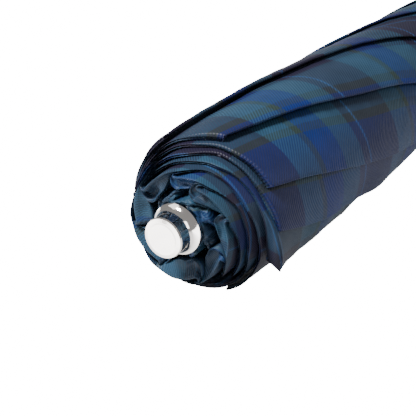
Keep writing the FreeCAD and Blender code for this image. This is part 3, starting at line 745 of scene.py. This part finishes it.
def sew(name, lines, sizes, material, slant=0.0):
    # lines are lists of points in metres
    tree, sockets = sewing
    mesh = bpy.data.meshes.new(name)
    points, edges = [], []
    for line in lines:
        edges += [(len(points) + k, len(points) + k + 1) for k in range(len(line) - 1)]
        points += [tuple(p) for p in line]
    mesh.from_pydata(points, edges, [])
    thing = bpy.data.objects.new(name, mesh)
    bpy.context.collection.objects.link(thing)
    modifier = thing.modifiers.new("sewing", "NODES")
    modifier.node_group = tree
    modifier[sockets["Pitch"]] = sizes["stitchPitch"] * mm
    modifier[sockets["Length"]] = sizes["stitchLength"] * mm
    modifier[sockets["Thread"]] = sizes["thread"] * mm
    modifier[sockets["Slant"]] = slant
    modifier[sockets["Finish"]] = material
    bpy.context.view_layer.update()
    sewn = bpy.data.meshes.new_from_object(thing.evaluated_get(bpy.context.evaluated_depsgraph_get()))
    thing.modifiers.remove(modifier)
    thing.data = sewn
    sewn.name = name
    sewn.polygons.foreach_set("use_smooth", [True] * len(sewn.polygons))
    return thing


def threadMaterial(name, color):
    # twisted thread, a little darker along its turns
    material, tree, shader = newMaterial(name)
    place = tree.nodes.new("ShaderNodeTexCoord")
    twist = tree.nodes.new("ShaderNodeTexWave")
    twist.inputs["Scale"].default_value = 1400.0
    twist.inputs["Distortion"].default_value = 1.0
    tree.links.new(place.outputs["Object"], twist.inputs["Vector"])
    shade = mathNode(tree, "MULTIPLY_ADD", twist.outputs["Fac"], 0.45, 0.65)
    tree.links.new(mixColor(tree, "MULTIPLY", 1.0, color, shade), shader.inputs["Base Color"])
    shader.inputs["Roughness"].default_value = 0.6
    shader.inputs["Sheen Weight"].default_value = 0.15
    return material


def makeStrap(sizes):
    band = makeStrapBand(sizes)
    tab = makeStrapTab(sizes)
    navyThread = threadMaterial("navy_thread", (0.030, 0.060, 0.160))
    for thing in (band, tab):
        thing.data.materials.append(clothMaterial)
    ring = np.linspace(0.0, turn, 361)
    edge = sizes["width"] * 0.5 - sizes["stitchIn"]
    above = sizes["radius"] + sizes["thickness"] * 0.5 + 0.02
    rings = [ringPoint(sizes["centre"] + side * edge, ring, above) for side in (-1, 1)]
    bandSewing = sew("strap_sewing", rings, sizes, navyThread)
    # one line up one side of the tab, round its end and back
    reach = sizes["tabWidth"] * 0.5 - sizes["stitchIn"]
    corner = sizes["tabRound"] - sizes["stitchIn"]
    perDegree = math.radians(1.0) * sizes["tabRadius"]
    endAt = sizes["tabTo"] - sizes["stitchIn"] / perDegree
    straight = np.linspace(sizes["tabHinge"] + 2.0, endAt - corner / perDegree, 60)
    bend = np.radians(np.linspace(0.0, 90.0, 12))
    acrossLine = np.concatenate([np.full(60, reach), reach - corner + corner * np.cos(bend),
                                 -(reach - corner) - corner * np.cos(bend[::-1]), np.full(60, -reach)])
    bent = endAt - corner / perDegree * (1.0 - np.sin(bend))
    azimuthLine = np.concatenate([straight, bent, bent[::-1], straight[::-1]])
    top = sizes["tabRadius"] + sizes["thickness"] * 0.5 + 0.01
    border = ringPoint(sizes["centre"] + acrossLine, azimuthLine, top)
    tabSewing = sew("strap_end_sewing", [border], sizes, navyThread)
    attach(band, "rolled_top")
    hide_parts("closure_strap")
    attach(bandSewing, "rolled_top")
    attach(tabSewing, "tab")
    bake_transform(tab)
    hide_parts("strap_tab")
    print("strap made")


makeStrap(strap)


# Leather grip: a sewn seam along its underside, and a row of stitches round each end.
gripSeam = {
    "from": 312.5, "to": 373.5, "lip": 0.55, "gap": 0.42, "steps": 60, "sides": 8,
    "stitchOut": 1.7, "endIn": 2.2, "endRadius": 14.9,
    "stitchPitch": 2.6, "stitchLength": 1.9, "thread": 0.24,
}


def gripProfile(along):
    # the grip's radius, an arc from end to end
    low, high = (corner[0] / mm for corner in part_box("handle_grip"))
    middle, half = (low + high) * 0.5, (high - low) * 0.5
    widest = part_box("handle_grip")[1][1] / mm
    rise = widest - gripSeam["endRadius"]
    arc = (half ** 2 + rise ** 2) / (2.0 * rise)
    return widest - arc + np.sqrt(arc ** 2 - (along - middle) ** 2)


def makeSeam(sizes):
    along = np.linspace(sizes["from"], sizes["to"], sizes["steps"])
    radius = gripProfile(along)
    points, faces, uv = [], [], []
    angles = np.linspace(0.0, math.pi, sizes["sides"])
    for side in (-1.0, 1.0):
        base = len(points)
        for k in range(len(along)):
            fade = 0.25 + 0.75 * math.sin(math.pi * k / (len(along) - 1)) ** 0.25
            for angle in angles:
                across = side * sizes["gap"] + sizes["lip"] * math.cos(angle)
                up = sizes["lip"] * 0.62 * fade * math.sin(angle) - 0.06
                points.append((along[k] * mm, across * mm, -(radius[k] + up) * mm))
                uv.append((along[k] / 100.0, across / 100.0))
        faces += gridFaces(len(along), len(angles), loopColumns=False, base=base)
    return addMesh("grip_seam", points, faces, np.array(uv))


def makeGripTrim(sizes, leather):
    seam = makeSeam(sizes)
    seam.data.materials.append(leather)
    along = np.linspace(sizes["from"] + 1.5, sizes["to"] - 1.5, 80)
    radius = gripProfile(along)
    rows = [ringPoint(along, 180.0 + side * np.degrees(sizes["stitchOut"] / radius), radius + 0.05)
            for side in (-1, 1)]
    for place in (sizes["from"] - 2.5 + sizes["endIn"], sizes["to"] + 2.5 - sizes["endIn"]):
        ring = np.linspace(0.0, turn, 241)
        rows.append(ringPoint(place, ring, gripProfile(np.array(place)) + 0.05))
    thread = threadMaterial("pale_thread", (0.34, 0.38, 0.46))
    stitches = sew("grip_sewing", rows, sizes, thread, 0.35)
    for thing in (seam, stitches):
        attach(thing, "handle")
    print("grip sewn")


# Finishes of the frame, shaft and handle. Grain and depth are those of the fine marks on the surface.
finishes = {
    "polished_nickel": dict(color=(0.80, 0.77, 0.745), roughness=0.08, spread=0.10, metallic=1.0,
                            grain=(60, 900, 900), depth=0.000006),
    "finial_nickel": dict(color=(0.86, 0.81, 0.78), roughness=0.08, spread=0.12, metallic=1.0,
                          grain=(900, 900, 900), depth=0.000006, groove=(5.9, 0.45, 0.00016)),
    "satin_plate": dict(color=(0.62, 0.60, 0.58), roughness=0.22, spread=0.14, metallic=1.0,
                        grain=(90, 1500, 1500), depth=0.00001),
    "drawn_steel": dict(color=(0.50, 0.505, 0.52), roughness=0.24, spread=0.16, metallic=1.0,
                        grain=(40, 2200, 2200), depth=0.00001),
    "black_plate": dict(color=(0.022, 0.022, 0.025), roughness=0.38, spread=0.14, metallic=0.4,
                        grain=(500, 500, 500), depth=0.00001),
    "black_plastic": dict(color=(0.014, 0.014, 0.016), roughness=0.50, spread=0.12, metallic=0.0,
                          grain=(2400, 2400, 2400), depth=0.00003),
    "beech": dict(color=(0.42, 0.26, 0.13), roughness=0.50, spread=0.15, metallic=0.0,
                  grain=(60, 900, 900), depth=0.00003),
}
wearScale, markStrength = 130.0, 0.6
wearing = {
    "finial_nickel": ["finial"],
    "polished_nickel": ["handle_collar", "handle_cap", "snap_cap", "snap_stud", "rib_tips"],
    "satin_plate": ["push_button"],
    "drawn_steel": ["outer_tube", "middle_tube", "inner_tube", "button_spring"],
    "black_plastic": ["tube_plug", "middle_glide", "inner_glide", "outer_bush", "middle_bush", "crown",
                      "runner", "button_well"],
    "beech": ["handle_core"],
}


def turnedGroove(tree, place, radius, width, depth):
    # a shallow ring turned into the end face, radius and width in millimetres
    flat = tree.nodes.new("ShaderNodeVectorMath")
    flat.operation = "MULTIPLY"
    flat.inputs[1].default_value = (0, 1000, 1000)
    tree.links.new(place.outputs["Object"], flat.inputs[0])
    length = tree.nodes.new("ShaderNodeVectorMath")
    length.operation = "LENGTH"
    tree.links.new(flat.outputs[0], length.inputs[0])
    rise = smoothStep(tree, length.outputs["Value"], radius - width, radius + width)
    return addBump(tree, rise, 1.0, depth)


def markedFinish(name, sizes):
    # fine marks drawn out along the umbrella, with handling wear that dulls the shine in patches
    material, tree, shader = newMaterial(name)
    place = tree.nodes.new("ShaderNodeTexCoord")
    stretch = tree.nodes.new("ShaderNodeMapping")
    stretch.inputs["Scale"].default_value = sizes["grain"]
    tree.links.new(place.outputs["Object"], stretch.inputs["Vector"])
    marks = addNoise(tree, stretch.outputs[0], 1.0, 6.0)
    wear = addNoise(tree, place.outputs["Object"], wearScale, 3.0)
    both = mathNode(tree, "MULTIPLY", marks[0], wear[0])
    rough = mathNode(tree, "MULTIPLY_ADD", both, sizes["spread"] * 2.0,
                     max(0.02, sizes["roughness"] - sizes["spread"] * 0.5))
    tree.links.new(rough, shader.inputs["Roughness"])
    shade = mathNode(tree, "MULTIPLY_ADD", wear[0], 0.24, 0.88)
    tree.links.new(mixColor(tree, "MULTIPLY", 1.0, sizes["color"], shade), shader.inputs["Base Color"])
    shader.inputs["Metallic"].default_value = sizes["metallic"]
    ring = turnedGroove(tree, place, *sizes["groove"]) if "groove" in sizes else None
    raised = addBump(tree, marks[0], markStrength, sizes["depth"], ring)
    tree.links.new(raised, shader.inputs["Normal"])
    return material


# Grain leather: small cells, darker in the creases between them, polished where the hand goes.
leatherSizes = {
    "color": (0.012, 0.022, 0.055), "crease": (0.004, 0.006, 0.014),
    "cells": 950.0, "creaseWidth": 0.22, "bend": 300.0, "bendBy": 0.0022, "worn": 70.0,
    "depth": 0.00012, "bump": 0.7, "specular": 0.3,
}


def grainLeather(name, sizes):
    material, tree, shader = newMaterial(name)
    place = tree.nodes.new("ShaderNodeTexCoord")
    bend = addNoise(tree, place.outputs["Object"], sizes["bend"])
    shifted = mixColor(tree, "LINEAR_LIGHT", sizes["bendBy"], place.outputs["Object"], bend["Color"])
    cells = tree.nodes.new("ShaderNodeTexVoronoi")
    cells.feature = "DISTANCE_TO_EDGE"
    cells.inputs["Scale"].default_value = sizes["cells"]
    tree.links.new(shifted, cells.inputs["Vector"])
    raised = smoothStep(tree, cells.outputs["Distance"], 0.0, sizes["creaseWidth"])
    tree.links.new(mixColor(tree, "MIX", raised, sizes["crease"], sizes["color"]),
              shader.inputs["Base Color"])
    worn = addNoise(tree, place.outputs["Object"], sizes["worn"])
    dull = mathNode(tree, "MULTIPLY_ADD", raised, -0.14, 0.62)
    tree.links.new(mathNode(tree, "MULTIPLY_ADD", worn[0], -0.16, dull), shader.inputs["Roughness"])
    tree.links.new(addBump(tree, raised, sizes["bump"], sizes["depth"]), shader.inputs["Normal"])
    shader.inputs["Specular IOR Level"].default_value = sizes["specular"]
    return material


leather = grainLeather("navy_leather", leatherSizes)
makeGripTrim(gripSeam, leather)


def finishFrame():
    made = {name: markedFinish(name, sizes) for name, sizes in finishes.items()}
    made["navy_leather"] = leather
    choice = {node: finish for finish, names in wearing.items() for node in names}
    choice["handle_grip"] = "navy_leather"
    for name, thing in nodes.items():
        finish = made[choice.get(name, "black_plate")]     # ribs, rivets, wires and brackets
        for slot in thing.material_slots:
            slot.material = finish
    print("frame finished")


finishFrame()


def foldSpring():
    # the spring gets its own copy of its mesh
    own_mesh(nodes["button_spring"])


foldSpring()

stage = {
    "floorSize": 6.0, "floorGap": 0.0002,
    "floorGlow": 17.0,             # what the camera sees of the floor
    "floorGloss": 5.0, "floorDull": 0.4,     # what metal reflects of it before the finial, and past it
    "glossFrom": 0.01, "glossTo": -0.05,
    "floorColor": (0.45, 0.45, 0.45),
    "roomLight": 0.31,
    "lights": [("window", (-0.30, 0.20, 0.62), (0.16, 0.16), 19.0),
               ("fill", (0.36, -0.62, 0.42), (0.5, 0.5), 3.5),
               ("card", (-0.34, 0.42, 0.50), (0.45, 0.45), 1.3)],
    "glossOnly": ["card"],     # seen in polished metal, but it sheds no light
    "lightAim": (0.05, 0.0, 0.0),
}


def paleFloor(sizes):
    # matt, and it glows like a lit table
    material, tree, shader = newMaterial("pale_floor")
    shader.inputs["Base Color"].default_value = (*sizes["floorColor"], 1)
    shader.inputs["Roughness"].default_value = 0.9
    shader.inputs["Emission Color"].default_value = (1, 1, 1, 1)
    path = tree.nodes.new("ShaderNodeLightPath")
    seen = mathNode(tree, "MULTIPLY", path.outputs["Is Camera Ray"], sizes["floorGlow"])
    place = tree.nodes.new("ShaderNodeNewGeometry")
    split = tree.nodes.new("ShaderNodeSeparateXYZ")
    tree.links.new(place.outputs["Position"], split.inputs[0])
    ahead = tree.nodes.new("ShaderNodeMapRange")
    ends = ("glossTo", "glossFrom", "floorGloss", "floorDull")
    for socket, value in zip(ahead.inputs[1:5], (sizes[end] for end in ends)):
        socket.default_value = value
    tree.links.new(split.outputs[0], ahead.inputs[0])
    glow = mathNode(tree, "MULTIPLY_ADD", path.outputs["Is Glossy Ray"], ahead.outputs[0], seen)
    tree.links.new(glow, shader.inputs["Emission Strength"])
    return material


def makeStage(sizes, low):
    bpy.ops.mesh.primitive_plane_add(size=sizes["floorSize"], location=(0.2, 0, low - sizes["floorGap"]))
    floor = bpy.context.object
    floor.name = "floor"
    floor.data.materials.append(paleFloor(sizes))
    world = bpy.data.worlds.new("studio")
    bpy.context.scene.world = world
    world.use_nodes = True
    world.node_tree.nodes["Background"].inputs[0].default_value = (1, 1, 1, 1)
    world.node_tree.nodes["Background"].inputs[1].default_value = sizes["roomLight"]
    for name, place, size, power in sizes["lights"]:
        light = bpy.data.lights.new(name, "AREA")
        light.shape = "RECTANGLE"
        light.size, light.size_y = size
        light.energy = power
        thing = bpy.data.objects.new(name, light)
        thing.location = place
        toLight = Vector(place) - Vector(sizes["lightAim"])
        thing.rotation_euler = toLight.to_track_quat("Z", "Y").to_euler()
        thing.visible_diffuse = name not in sizes["glossOnly"]
        bpy.context.collection.objects.link(thing)
    print("stage made")


lowest = min(v.co.z for v in canopyCloth.data.vertices)
makeStage(stage, lowest)

# the view's centre lies right of and above the finial's face
cameraSizes = {"azimuth": -57.0, "elevation": 26.0, "distance": 0.600, "lens": 144.0,
               "aimRight": 0.01655, "aimUp": 0.01120}


def makeCamera(sizes):
    azimuth, elevation = math.radians(sizes["azimuth"]), math.radians(sizes["elevation"])
    back = Vector((math.sin(azimuth) * math.cos(elevation), -math.cos(azimuth) * math.cos(elevation),
                   math.sin(elevation)))
    right = Vector((math.cos(azimuth), math.sin(azimuth), 0))
    camera = bpy.data.cameras.new("camera")
    camera.lens = sizes["lens"]
    camera.sensor_width = 36.0
    camera.clip_start = 0.02
    thing = bpy.data.objects.new("camera", camera)
    bpy.context.collection.objects.link(thing)
    bpy.context.scene.camera = thing
    aim = right * sizes["aimRight"] + back.cross(right) * sizes["aimUp"]
    thing.location = back * sizes["distance"] + aim
    thing.rotation_euler = back.to_track_quat("Z", "Y").to_euler()
    print("camera made")


makeCamera(cameraSizes)
